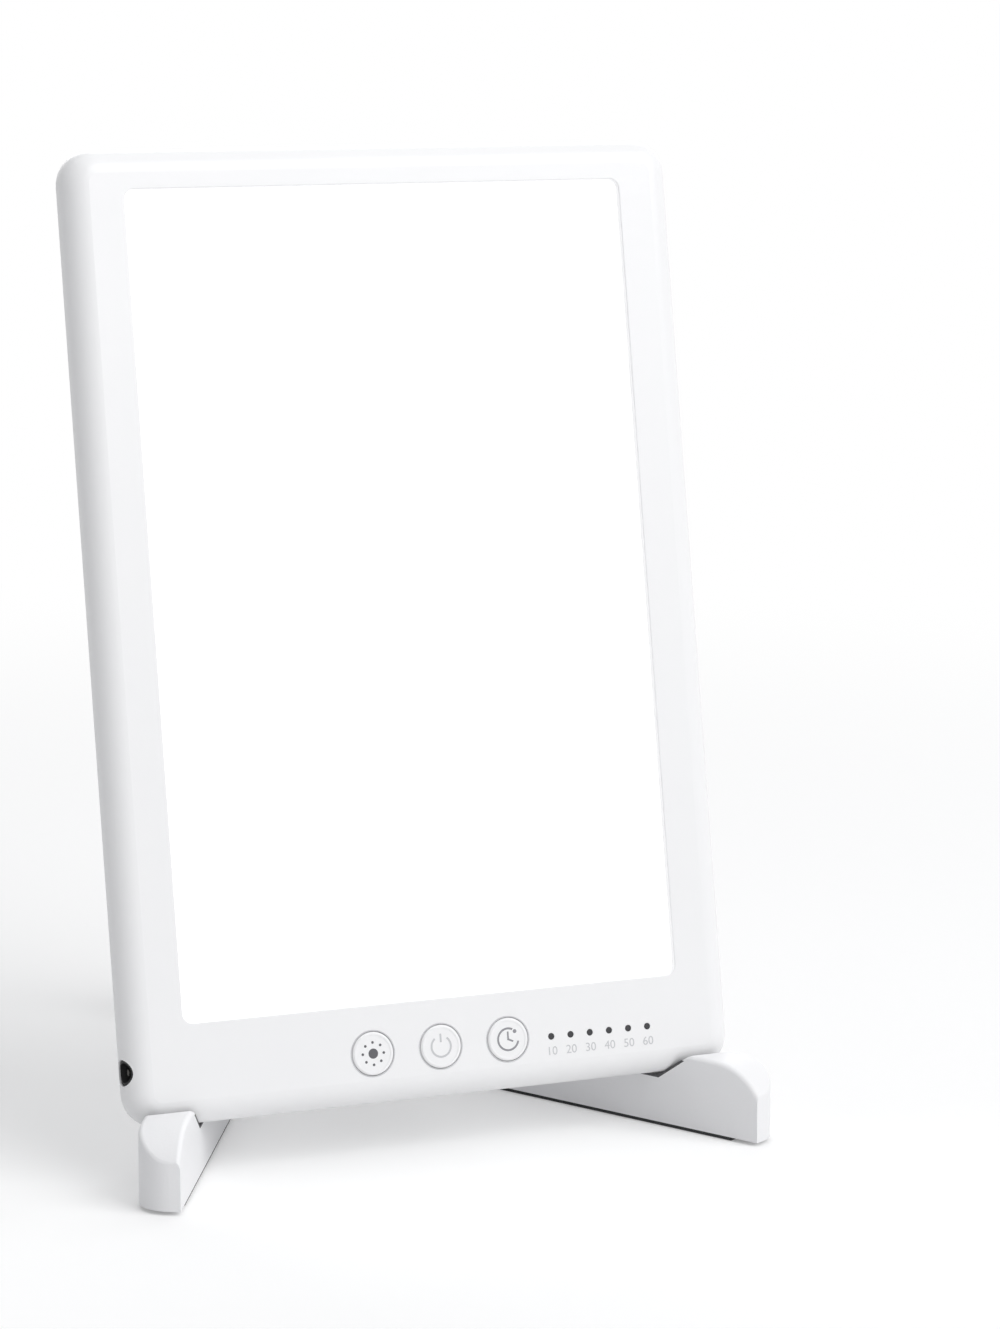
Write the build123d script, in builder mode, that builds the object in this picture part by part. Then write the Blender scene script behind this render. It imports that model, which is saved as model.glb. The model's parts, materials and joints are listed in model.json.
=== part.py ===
from build123d import *
import os
from math import asin, atan2, cos, hypot, radians, sin

# Light therapy lamp on a folding stand: a thin lamp head that leans on a hinged backrest and
# stands in the notches of two legs. Millimetres, +Z up, the user sits on the -Y side.
# The origin is on the desk, under the middle of the hub's foot pad.

# ---------------------------------------------------------------- driving dimensions
# Lamp head
lamp_width = 160.0
lamp_height = 236.0
lamp_thickness = 12.5
lamp_corner_radius = 8.5
lamp_lean = 10.7
lamp_tip_distance = 26.87
rim_flat = 0.1
front_wall = 1.6
side_wall = 1.8

window_side_margin = 14.8
window_bottom_margin = 24.6
window_top_margin = 10.2
window_corner_radius = 2.5
window_edge_radius = 0.3

diffuser_thickness = 2.0
diffuser_overlap = 3.4
guide_thickness = 2.5
guide_overlap = 1.7
reflector_thickness = 0.25
plate_thickness = 1.0
plate_flange = 0.8

led_gap = 0.1
led_depth = 0.9
led_length = 3.0
led_width = 2.2
led_pitch = 7.6
led_end_margin = 3.5
strip_thickness = 1.0
strip_margin = 3.5

# Controls in the lower bezel
button_x = (-17.4, 0.5, 18.4)
button_height = 12.7
button_radius = 5.35
button_clearance = 0.15
button_proud = 0.25
button_edge = 0.4
button_flange_radius = 6.2
button_flange_thickness = 0.9
button_flange_gap = 0.35
button_travel = 0.7
button_overtravel_gap = 0.1

window_dot_radius = 0.8
window_dot_clearance = 0.05
window_dot_x = 30.1
window_dot_pitch = 5.25
window_dot_count = 6
window_dot_height = 12.27
light_bar_thickness = 0.8
light_bar_width = 3.0
light_bar_gap = 0.4
light_bar_foot = 1.0

jack_height = 13.9
jack_front_gap = 0.55
jack_wall_gap = 2.6
jack_nose_radius = 3.1
jack_face_recess = 0.4
jack_hole_clearance = 0.1
jack_bore_radius = 2.4
jack_bore_depth = 9.0
jack_pin_radius = 0.8
jack_pin_recess = 1.2
jack_body_length = 10.4
jack_body_width = 8.0
jack_body_depth = 5.6

# Circuit board behind the lower bezel
board_thickness = 1.2
board_bottom_gap = 1.25
board_top_gap = 0.75
board_end_inset = 14.0
board_post_radius = 1.8
board_post_places = ((-45.0, 6.0), (27.0, -0.5), (62.0, 6.0))
board_screw_radius = 0.9
board_screw_head_radius = 1.6
board_screw_head = 0.9
board_screw_length = 4.2
pilot_clearance = 0.05
post_root = 0.3
switch_size = 5.2
switch_body = 1.0
switch_plunger_radius = 1.2
switch_plunger_height = 0.4
indicator_led_size = (1.6, 0.8)
indicator_led_thickness = 0.6
chip_places = ((-30.0, 5.5, 12.0, 8.0), (-8.0, 4.5, 7.0, 7.0), (10.0, 5.5, 5.0, 4.0), (44.0, 5.0, 9.0, 6.0))
chip_thickness = 1.4
connector_length = 4.0
connector_width = 2.2
connector_thickness = 1.6
connector_inset = 9.0
connector_top_gap = 0.5
lead_size = 1.2
lead_gap = 0.1

# Screws that close the casing
cover_screw_inset = 6.6
cover_screw_bottom = 30.25
cover_screw_top = 15.75
cover_boss_radius = 3.6
cover_screw_radius = 1.1
cover_screw_head_radius = 2.3
cover_screw_head = 2.05
cover_screw_tip_gap = 0.85
cover_screw_recess = 0.15
screw_hole_clearance = 0.2
screw_head_clearance = 0.3
cross_width = 0.5
cross_length = 2.4
cross_depth = 0.7
rib_thickness = 1.4
rib_places = (-45.0, -15.0, 15.0, 45.0)
rib_end_gap = 5.0

# Legs
open_angle = 27.35
leg_length = 162.2
leg_thickness = 11.2
leg_height = 19.6
leg_root_height = 16.5
leg_rise_length = 40.0
leg_corner_radius = 8.5
leg_edge_radius = 1.2
nose_height = 12.8
nose_length = 13.0
foot_strip_thickness = 0.9
foot_strip_inset = 0.3
foot_strip_start = 12.0
foot_strip_tip_gap = 8.0
pin_y = -10.8
leg_gap = 0.4
pin_radius = 2.0
pin_head_radius = 3.2
pin_head = 0.8
running_clearance = 0.05
tongue_clearance = 0.2
tongue_shoulder_gap = 0.5

# Notches that hold the lamp
notch_floor = 12.4
notch_slope = 38.0
notch_pad_thickness = 0.6
notch_pad_proud = 0.2
notch_pad_top_gap = 1.5
notch_pad_clearance = 0.05
notch_floor_gap = 0.65
seat_gap = 0.2
notch_rear_gap = 1.0
trough_gap = 0.5
trough_rear_run = 5.4
cut_margin = 0.65

# Hub
hub_y = 22.0
hub_height = 17.0
yoke_bottom = 2.2
yoke_top = 17.2
fork_plate = 3.2
fork_radius = 9.5
fork_gap_depth = 11.3
hub_half_width = 12.6
slot_half_width = 7.4
neck_gap = 0.8
slot_rear_height = 10.0
axle_radius = 3.0
axle_head_radius = 5.0
axle_head = 2.8
axle_head_clearance = 0.2
axle_head_recess = 0.4
hub_cap_radius = 13.5
hub_cap_thickness = 1.6
hub_cap_edge = 0.8
washer_radius = 8.0
washer_thickness = 0.6
washer_clearance = 0.05
foot_pad_width = 20.0
foot_pad_length = 34.0
foot_pad_corner = 5.0

# Arm and backrest
arm_lean = 76.0
arm_length = 118.0
arm_thickness = 8.0
arm_half_width = 6.6
arm_edge_radius = 2.0
arm_barrel_radius = 12.0
arm_clearance = 0.8
knuckle_radius = 5.5
knuckle_half_width = 3.8
knuckle_side_gap = 1.0
rest_pin_radius = 1.5
rest_pin_head_radius = 2.4
rest_pin_head = 0.8
rest_pin_overhang = 0.2
rest_washer_thickness = 0.4
rest_washer_radius = 5.0
ear_thickness = 4.7
ear_length = 15.0
rest_start = 13.0
rest_straight = 120.0
rest_width = 24.0
rest_back = 4.5
rest_front = 5.6
rest_edge_radius = 3.0
rest_pad_margin = 2.4
rest_pad_start = 16.0
rest_pad_recess = 0.6
rest_pad_thickness = 2.0
rest_pad_clearance = 0.15
rest_contact_gap = 0.3

# ---------------------------------------------------------------- worked-out sizes and planes
half_thickness = lamp_thickness / 2
half_width = lamp_width / 2
lamp_axis_height = notch_floor + notch_pad_thickness + notch_floor_gap + half_thickness
lean = radians(lamp_lean)
beta = radians(open_angle)
tip_y = pin_y - leg_length * cos(beta)
lamp_y = tip_y + lamp_tip_distance
lamp_origin = (0, lamp_y, lamp_axis_height)
lamp_plane = Plane(origin=lamp_origin, x_dir=(1, 0, 0), z_dir=(0, -cos(lean), sin(lean)))
lamp_side = Plane(origin=lamp_origin, x_dir=(0, sin(lean), cos(lean)), z_dir=(1, 0, 0))
lamp_bottom = -half_thickness
lamp_top = lamp_bottom + lamp_height

# Layers of the lamp, from its front face backwards
rim_radius = half_thickness - rim_flat
inner_rim_radius = rim_radius - side_wall
inner_corner_radius = lamp_corner_radius - side_wall
front_inside = half_thickness - front_wall
diffuser_back = front_inside - diffuser_thickness
guide_back = diffuser_back - guide_thickness
reflector_back = guide_back - reflector_thickness
plate_back = reflector_back - plate_thickness

window_half = half_width - window_side_margin
window_bottom = lamp_bottom + window_bottom_margin
window_top = lamp_top - window_top_margin
diffuser_half = window_half + diffuser_overlap
diffuser_span = (window_bottom - diffuser_overlap, window_top + diffuser_overlap)
guide_half = window_half + guide_overlap
guide_span = (window_bottom - guide_overlap, window_top + guide_overlap)
led_inner = guide_half + led_gap
strip_inner = led_inner + led_depth
flange_inner = strip_inner + strip_thickness
plate_half = flange_inner + plate_flange
strip_span = (diffuser_span[0] + strip_margin, diffuser_span[1] - strip_margin)
led_middle = (strip_span[0] + strip_span[1]) / 2
led_room = strip_span[1] - strip_span[0] - led_length - 2 * led_end_margin
led_count = int(led_room / led_pitch) + 1

button_v = lamp_bottom + button_height
button_top = half_thickness + button_proud
button_flange_top = front_inside - button_flange_gap
button_flange_back = button_flange_top - button_flange_thickness
switch_top = button_flange_back - button_travel - button_overtravel_gap
board_front = switch_top - switch_plunger_height - switch_body
board_back = board_front - board_thickness
window_dot_v = lamp_bottom + window_dot_height
dot_places = [(window_dot_x + window_dot_pitch * k, window_dot_v) for k in range(window_dot_count)]
light_bar_back = board_front + indicator_led_thickness + light_bar_gap
jack_v = lamp_bottom + jack_height
jack_front = front_inside - jack_front_gap - jack_body_depth / 2
jack_body_x = side_wall + jack_wall_gap - half_width
jack_face_x = jack_face_recess - half_width
jack_bore = (jack_face_x, jack_face_x + jack_bore_depth)
board_span = (lamp_bottom + side_wall + board_bottom_gap, diffuser_span[0] - board_top_gap)
board_left_end = jack_body_x + jack_body_length
board_right_end = half_width - board_end_inset
connector_v = board_span[1] - connector_top_gap - connector_width / 2

screw_x = half_width - cover_screw_inset
screw_heights = (cover_screw_bottom, lamp_height / 2, lamp_height - cover_screw_top)
screw_places = [(side * screw_x, lamp_bottom + height) for side in (-1, 1) for height in screw_heights]
screw_head_back = -half_thickness + cover_screw_recess
screw_head_front = screw_head_back + cover_screw_head
screw_tip = front_inside - cover_screw_tip_gap
board_screw_tip = board_back + board_screw_length - screw_hole_clearance

# Legs, in plan and from the side
half_leg = leg_thickness / 2
pin_x = half_leg + leg_gap / 2
heading = (sin(beta), -cos(beta), 0)
outward = (cos(beta), sin(beta), 0)
inward = (-cos(beta), -sin(beta), 0)
leg_plan = Plane(origin=(pin_x, pin_y, 0), x_dir=heading, z_dir=(0, 0, 1))
leg_side = Plane(origin=(pin_x, pin_y, 0), x_dir=heading, z_dir=inward)
pin_plane = Plane.XY
pin_places = [(-pin_x, pin_y), (pin_x, pin_y)]
fork_gap = (yoke_bottom + fork_plate, yoke_top - fork_plate)
tongue = (fork_gap[0] + tongue_clearance, fork_gap[1] - tongue_clearance)
tongue_clear_radius = fork_radius + tongue_shoulder_gap
pin_to_lamp = pin_y - lamp_y
slope = radians(notch_slope)
pad_distance = half_thickness + seat_gap

# Hub, arm and backrest
hub_side = Plane(origin=(0, hub_y, hub_height), x_dir=(0, 1, 0), z_dir=(1, 0, 0))
cheek_radius = hub_height - yoke_bottom
alpha = radians(arm_lean)
arm_side = Plane(origin=(0, hub_y, hub_height), x_dir=(0, -sin(alpha), cos(alpha)), z_dir=(1, 0, 0))
hinge_y = hub_y - arm_length * sin(alpha)
hinge_z = hub_height + arm_length * cos(alpha)
rest_pad_half = rest_width / 2 - rest_pad_margin
rest_pad_end = rest_straight + rest_pad_half
rest_pad_floor = rest_front - rest_pad_recess
rest_pad_front = rest_pad_floor + rest_pad_thickness
hinge_behind_lamp = (hinge_y - lamp_y) * cos(lean) - (hinge_z - lamp_axis_height) * sin(lean)
pad_reach = hypot(rest_pad_end, rest_pad_front)
rest_angle = (
    lean
    + asin((half_thickness + rest_contact_gap - hinge_behind_lamp) / pad_reach)
    + atan2(rest_pad_front, rest_pad_end)
)
hinge_point = (0, hinge_y, hinge_z)
knuckle_clear_radius = rest_start - knuckle_side_gap
rest_face = Plane(origin=hinge_point, x_dir=(1, 0, 0), z_dir=(0, -cos(rest_angle), sin(rest_angle)))
rest_side = Plane(origin=hinge_point, x_dir=(0, sin(rest_angle), cos(rest_angle)), z_dir=(1, 0, 0))
rest_washer_inner = knuckle_half_width + running_clearance
ear_inner = rest_washer_inner + rest_washer_thickness + running_clearance
ear_outer = ear_inner + ear_thickness

os.makedirs("parts", exist_ok=True)


# ---------------------------------------------------------------- helpers
def block(plane, first, second, depth, mode=Mode.ADD):
    """Box between three pairs of limits: along the plane's own x, y and normal."""
    with BuildSketch(plane.offset(depth[0])) as outline:
        with Locations((sum(first) / 2, sum(second) / 2)):
            Rectangle(first[1] - first[0], second[1] - second[0])
    extrude(outline.sketch, amount=depth[1] - depth[0], mode=mode)


def rods(plane, centres, radius, depth, mode=Mode.ADD):
    """Round bars of one radius, at several places of a plane, between two depths."""
    with BuildSketch(plane.offset(depth[0])) as outline:
        with Locations(*centres):
            Circle(radius)
    extrude(outline.sketch, amount=depth[1] - depth[0], mode=mode)


def prism(plane, points, depth, mode=Mode.ADD):
    """Straight-sided outline through the points, between two depths of a plane."""
    with BuildSketch(plane.offset(depth[0])) as outline:
        with BuildLine():
            Polyline(*points, close=True)
        make_face()
    extrude(outline.sketch, amount=depth[1] - depth[0], mode=mode)


def rounded_slab(plane, half, span, corner, depth, mode=Mode.ADD):
    """Slab of a plane, centred on its y axis, with round corners."""
    with BuildSketch(plane.offset(depth[0])) as outline:
        with Locations((0, sum(span) / 2)):
            RectangleRounded(2 * half, span[1] - span[0], corner)
    extrude(outline.sketch, amount=depth[1] - depth[0], mode=mode)


def finish(piece, name):
    """Name a finished piece and write it out."""
    piece.label = name
    export_step(piece, f"parts/{name}.step")


def mirrored(piece):
    """The same piece on the other side of the stand."""
    return mirror(piece, about=Plane.YZ)


# ---------------------------------------------------------------- lamp casing
def rounded_tray(side, inset, corner, thickness, rim):
    """Slab with a round rim, from the split plane to the front (side 1) or to the back (side -1)."""
    span = (lamp_bottom + inset, lamp_top - inset)
    depth = sorted((0, side * thickness))
    with BuildPart() as tray:
        rounded_slab(lamp_plane, half_width - inset, span, corner, depth)
        outer_face = tray.faces().sort_by(Axis(lamp_plane.origin, lamp_plane.z_dir * side))[-1]
        fillet(outer_face.edges(), rim)
    return tray.part


def casing_half(side):
    """Outside of one half of the casing, with the hollow for the light panel and the board."""
    with BuildPart() as casing:
        add(rounded_tray(side, 0, lamp_corner_radius, half_thickness, rim_radius))
        hollow = rounded_tray(side, side_wall, inner_corner_radius, front_inside, inner_rim_radius)
        add(hollow, mode=Mode.SUBTRACT)
    return casing.part


jack_hole = (jack_v, jack_front)
jack_hole_radius = jack_nose_radius + jack_hole_clearance
jack_hole_depth = (-half_width - side_wall, -half_width + rim_radius)
boss_root = (0, front_inside + post_root)

with BuildPart() as front_frame:
    add(casing_half(1))
    rods(lamp_plane, screw_places, cover_boss_radius, boss_root)
    post_depth = (board_front, front_inside + post_root)
    rods(lamp_plane, board_post_places, board_post_radius, post_depth)
    rounded_slab(
        lamp_plane, window_half, (window_bottom, window_top), window_corner_radius,
        (diffuser_back, half_thickness), Mode.SUBTRACT
    )
    front_face = front_frame.faces().sort_by(Axis(lamp_plane.origin, lamp_plane.z_dir))[-1]
    fillet(front_face.inner_wires().edges(), window_edge_radius)
    pilot_depth = (0, screw_tip + screw_hole_clearance)
    rods(lamp_plane, screw_places, cover_screw_radius + pilot_clearance, pilot_depth, Mode.SUBTRACT)
    board_pilot_depth = (board_front, board_screw_tip + screw_hole_clearance)
    rods(lamp_plane, board_post_places, board_screw_radius + pilot_clearance, board_pilot_depth, Mode.SUBTRACT)
    through_wall = (front_inside - post_root, half_thickness)
    button_places = [(x, button_v) for x in button_x]
    rods(lamp_plane, button_places, button_radius + button_clearance, through_wall, Mode.SUBTRACT)
    rods(lamp_plane, dot_places, window_dot_radius + window_dot_clearance, through_wall, Mode.SUBTRACT)
    rods(lamp_side, [jack_hole], jack_hole_radius, jack_hole_depth, Mode.SUBTRACT)
finish(front_frame.part, "front_frame")

with BuildPart() as rear_cover:
    add(casing_half(-1))
    rods(lamp_plane, screw_places, cover_boss_radius, (-front_inside - post_root, 0))
    for rib_x in rib_places:
        rib_across = (rib_x - rib_thickness / 2, rib_x + rib_thickness / 2)
        rib_span = (diffuser_span[0] + rib_end_gap, diffuser_span[1] - rib_end_gap)
        block(lamp_plane, rib_across, rib_span, (-front_inside - post_root, plate_back))
    whole_depth = (-half_thickness, 0)
    rods(lamp_plane, screw_places, cover_screw_radius + screw_hole_clearance, whole_depth, Mode.SUBTRACT)
    head_depth = (-half_thickness, screw_head_front)
    rods(lamp_plane, screw_places, cover_screw_head_radius + screw_head_clearance, head_depth, Mode.SUBTRACT)
    rods(lamp_side, [jack_hole], jack_hole_radius, jack_hole_depth, Mode.SUBTRACT)
finish(rear_cover.part, "rear_cover")


def cross_recess(places, back):
    """Cross-shaped driver recesses in screw heads that face the back."""
    for place_x, place_v in places:
        for reach in ((cross_length, cross_width), (cross_width, cross_length)):
            across = (place_x - reach[0] / 2, place_x + reach[0] / 2)
            along = (place_v - reach[1] / 2, place_v + reach[1] / 2)
            block(lamp_plane, across, along, (back, back + cross_depth), Mode.SUBTRACT)


with BuildPart() as cover_screws:
    rods(lamp_plane, screw_places, cover_screw_head_radius, (screw_head_back, screw_head_front))
    rods(lamp_plane, screw_places, cover_screw_radius, (screw_head_front, screw_tip))
    cross_recess(screw_places, screw_head_back)
finish(cover_screws.part, "cover_screws")

# ---------------------------------------------------------------- light panel
with BuildPart() as diffuser_panel:
    diffuser_across = (-diffuser_half, diffuser_half)
    block(lamp_plane, diffuser_across, diffuser_span, (diffuser_back, front_inside))
finish(diffuser_panel.part, "diffuser_panel")

with BuildPart() as light_guide_plate:
    block(lamp_plane, (-guide_half, guide_half), guide_span, (guide_back, diffuser_back))
finish(light_guide_plate.part, "light_guide_plate")

with BuildPart() as reflector_sheet:
    block(lamp_plane, (-guide_half, guide_half), guide_span, (reflector_back, guide_back))
finish(reflector_sheet.part, "reflector_sheet")

with BuildPart() as back_plate:
    block(lamp_plane, (-plate_half, plate_half), diffuser_span, (plate_back, reflector_back))
    for flange_across in ((-plate_half, -flange_inner), (flange_inner, plate_half)):
        block(lamp_plane, flange_across, diffuser_span, (reflector_back, diffuser_back))
finish(back_plate.part, "back_plate")

strip_depth = (reflector_back + running_clearance, diffuser_back - running_clearance)
with BuildPart() as right_led_strip:
    block(lamp_plane, (strip_inner, flange_inner), strip_span, strip_depth)
finish(right_led_strip.part, "right_led_strip")
left_led_strip = mirrored(right_led_strip.part)
finish(left_led_strip, "left_led_strip")

led_back = (strip_depth[0] + strip_depth[1] - led_width) / 2
with BuildPart() as right_leds:
    with BuildSketch(lamp_plane.offset(led_back)) as led_outlines:
        with Locations((led_inner + led_depth / 2, led_middle)):
            with GridLocations(led_pitch, led_pitch, 1, led_count):
                Rectangle(led_depth, led_length)
    extrude(amount=led_width)
finish(right_leds.part, "right_leds")
left_leds = mirrored(right_leds.part)
finish(left_leds, "left_leds")

# ---------------------------------------------------------------- electronics
with BuildPart() as control_board:
    block(lamp_plane, (board_left_end, board_right_end), board_span, (board_back, board_front))
    screw_hole = board_screw_radius + pilot_clearance
    rods(lamp_plane, board_post_places, screw_hole, (board_back, board_front), Mode.SUBTRACT)
finish(control_board.part, "control_board")

with BuildPart() as board_screws:
    board_head_depth = (board_back - board_screw_head, board_back)
    rods(lamp_plane, board_post_places, board_screw_head_radius, board_head_depth)
    rods(lamp_plane, board_post_places, board_screw_radius, (board_back, board_screw_tip))
finish(board_screws.part, "board_screws")

connector_across = (board_right_end - connector_inset - connector_length, board_right_end - connector_inset)
connector_along = (connector_v - connector_width / 2, connector_v + connector_width / 2)
with BuildPart() as board_components:
    for chip_x, chip_v, chip_width, chip_height in chip_places:
        chip_across = (chip_x - chip_width / 2, chip_x + chip_width / 2)
        chip_along = (chip_v - chip_height / 2, chip_v + chip_height / 2)
        block(lamp_plane, chip_across, chip_along, (board_back - chip_thickness, board_back))
    connector_depth = (board_front, board_front + connector_thickness)
    block(lamp_plane, connector_across, connector_along, connector_depth)
    left_connector = (-connector_across[1], -connector_across[0])
    block(lamp_plane, left_connector, connector_along, connector_depth)
finish(board_components.part, "board_components")

lead_v = (connector_v - lead_size / 2, connector_v + lead_size / 2)
lead_x = (flange_inner - lead_gap - lead_size, flange_inner - lead_gap)
lead_depth = (board_front, board_front + lead_size)
with BuildPart() as right_led_leads:
    block(lamp_plane, (connector_across[1], lead_x[1]), lead_v, lead_depth)
    block(lamp_plane, lead_x, (lead_v[1], strip_span[0]), lead_depth)
led_leads = Compound(children=[*right_led_leads.part.solids(), *mirrored(right_led_leads.part).solids()])
finish(led_leads, "led_leads")

with BuildPart() as tact_switches:
    for switch_x in button_x:
        switch_across = (switch_x - switch_size / 2, switch_x + switch_size / 2)
        switch_along = (button_v - switch_size / 2, button_v + switch_size / 2)
        block(lamp_plane, switch_across, switch_along, (board_front, board_front + switch_body))
    plunger_depth = (board_front + switch_body, switch_top)
    rods(lamp_plane, button_places, switch_plunger_radius, plunger_depth)
finish(tact_switches.part, "tact_switches")

with BuildPart() as indicator_leds:
    for dot_x, dot_v in dot_places:
        indicator_across = (dot_x - indicator_led_size[0] / 2, dot_x + indicator_led_size[0] / 2)
        indicator_along = (dot_v - indicator_led_size[1] / 2, dot_v + indicator_led_size[1] / 2)
        block(lamp_plane, indicator_across, indicator_along, (board_front, board_front + indicator_led_thickness))
finish(indicator_leds.part, "indicator_leds")

bar_start = dot_places[0][0] - indicator_led_size[0]
bar_end = dot_places[-1][0] + indicator_led_size[0]
bar_along = (window_dot_v - light_bar_width / 2, window_dot_v + light_bar_width / 2)
bar_front = light_bar_back + light_bar_thickness
with BuildPart() as indicator_light_guide:
    block(lamp_plane, (bar_start - light_bar_foot, bar_end + light_bar_foot), bar_along, (light_bar_back, bar_front))
    for foot_across in ((bar_start - light_bar_foot, bar_start), (bar_end, bar_end + light_bar_foot)):
        block(lamp_plane, foot_across, bar_along, (board_front, light_bar_back))
    rods(lamp_plane, dot_places, window_dot_radius, (bar_front, half_thickness))
finish(indicator_light_guide.part, "indicator_light_guide")

with BuildPart() as socket_room:
    for side in (-1, 1):
        room_corner = lamp_corner_radius - jack_face_recess
        room_rim = rim_radius - jack_face_recess
        add(rounded_tray(side, jack_face_recess, room_corner, half_thickness - jack_face_recess, room_rim))

with BuildPart() as dc_jack:
    jack_across = (jack_body_x, board_left_end)
    jack_along = (jack_v - jack_body_width / 2, jack_v + jack_body_width / 2)
    jack_depth = (jack_front - jack_body_depth / 2, jack_front + jack_body_depth / 2)
    block(lamp_plane, jack_across, jack_along, jack_depth)
    rods(lamp_side, [jack_hole], jack_nose_radius, (-half_width, jack_body_x))
    rods(lamp_side, [jack_hole], jack_bore_radius, jack_bore, Mode.SUBTRACT)
    add(socket_room.part, mode=Mode.INTERSECT)
finish(dc_jack.part, "dc_jack")

with BuildPart() as dc_jack_pin:
    rods(lamp_side, [jack_hole], jack_pin_radius, (jack_face_x + jack_pin_recess, jack_bore[1]))
finish(dc_jack_pin.part, "dc_jack_pin")

# ---------------------------------------------------------------- buttons
for name, centre_x in zip(("brightness_button", "power_button", "timer_button"), button_x):
    with BuildPart() as button:
        centre = [(centre_x, button_v)]
        rods(lamp_plane, centre, button_radius, (button_flange_top, button_top))
        fillet(button.faces().sort_by(Axis(lamp_plane.origin, lamp_plane.z_dir))[-1].edges(), button_edge)
        rods(lamp_plane, centre, button_flange_radius, (button_flange_back, button_flange_top))
    finish(button.part, name)


# ---------------------------------------------------------------- legs
def leg_outline(inset, start, tip_gap=0):
    """Plan of a leg from a distance off its pin, with the outer front corner round."""
    side = half_leg - inset
    tip = leg_length - inset - tip_gap
    corner = leg_corner_radius - inset
    with BuildSketch(leg_plan) as plan:
        with BuildLine():
            Polyline((start, side), (start, -side), (tip, -side), (tip, side - corner))
            TangentArc((tip, side - corner), (tip - corner, side), tangent=(0, 1))
            Line((tip - corner, side), (start, side))
        make_face()
    return plan.sketch


def slope_y(distance, height):
    """Where a line that slopes as the notch, this far in front of the lamp's round, is at a height."""
    return lamp_y - (distance + (height - lamp_axis_height) * cos(slope)) / sin(slope)


notch_rear_y = lamp_y + half_thickness + notch_rear_gap
trough_rear = pin_to_lamp - half_thickness - trough_gap
trough_front = (pin_to_lamp - half_leg * sin(beta)) / cos(beta)
notch_top = leg_height + cut_margin
groove_distance = pad_distance + notch_pad_proud
groove_floor = notch_floor + notch_pad_thickness - notch_pad_proud


def notch_liner(growth):
    """Band along the slope and the floor of the notch, as wide as the leg and this much wider each side."""
    back_distance = pad_distance + notch_pad_thickness
    liner_floor = notch_floor + notch_pad_thickness
    liner_top = leg_height - notch_pad_top_gap
    band = (
        (slope_y(back_distance, liner_top), liner_top), (slope_y(back_distance, notch_floor), notch_floor),
        (notch_rear_y, notch_floor), (notch_rear_y, liner_floor),
        (slope_y(pad_distance, liner_floor), liner_floor), (slope_y(pad_distance, liner_top), liner_top)
    )
    with BuildPart() as liner:
        prism(Plane.YZ, band, (0, leg_length))
        extrude(leg_outline(-growth, trough_rear), amount=leg_height, mode=Mode.INTERSECT)
    return liner.part


with BuildPart() as right_leg:
    with BuildSketch(leg_side.offset(-half_leg)) as leg_profile:
        with BuildLine():
            nose_start = (leg_length - nose_length, leg_height)
            nose_end = (leg_length, nose_height)
            Polyline(
                nose_end, (leg_length, foot_strip_thickness), (0, foot_strip_thickness),
                (0, leg_root_height), (leg_rise_length, leg_height), nose_start
            )
            TangentArc(nose_start, nose_end, tangent=(1, 0))
        make_face()
    extrude(amount=leg_thickness)
    extrude(leg_outline(0, 0), amount=leg_height, mode=Mode.INTERSECT)
    upper_edges = right_leg.edges().filter_by(lambda edge: edge.center().Z > nose_height)
    fillet(upper_edges.filter_by(Axis((0, 0, 0), outward), reverse=True), leg_edge_radius)
    trough = (
        (trough_rear - trough_rear_run, notch_top), (trough_rear, notch_floor),
        (trough_front, notch_floor), (trough_front, notch_top)
    )
    prism(leg_side, trough, (-half_leg, half_leg), Mode.SUBTRACT)
    groove = (
        (notch_rear_y, notch_top), (notch_rear_y, groove_floor),
        (slope_y(groove_distance, groove_floor), groove_floor), (slope_y(groove_distance, notch_top), notch_top)
    )
    prism(Plane.YZ, groove, (0, leg_length), Mode.SUBTRACT)
    add(notch_liner(notch_pad_clearance), mode=Mode.SUBTRACT)
    own_pin = [(pin_x, pin_y)]
    rods(pin_plane, own_pin, tongue_clear_radius, (0, tongue[0]), Mode.SUBTRACT)
    rods(pin_plane, own_pin, tongue_clear_radius, (tongue[1], leg_height), Mode.SUBTRACT)
    rods(pin_plane, own_pin, half_leg, tongue)
    rods(pin_plane, own_pin, pin_radius + running_clearance, tongue, Mode.SUBTRACT)
finish(right_leg.part, "right_leg")
left_leg = mirrored(right_leg.part)
finish(left_leg, "left_leg")

right_notch_pad = notch_liner(0)
finish(right_notch_pad, "right_notch_pad")
left_notch_pad = mirrored(right_notch_pad)
finish(left_notch_pad, "left_notch_pad")

with BuildPart() as right_foot_strip:
    strip_outline = leg_outline(foot_strip_inset, foot_strip_start, foot_strip_tip_gap)
    extrude(strip_outline, amount=foot_strip_thickness)
finish(right_foot_strip.part, "right_foot_strip")
left_foot_strip = mirrored(right_foot_strip.part)
finish(left_foot_strip, "left_foot_strip")

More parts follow.
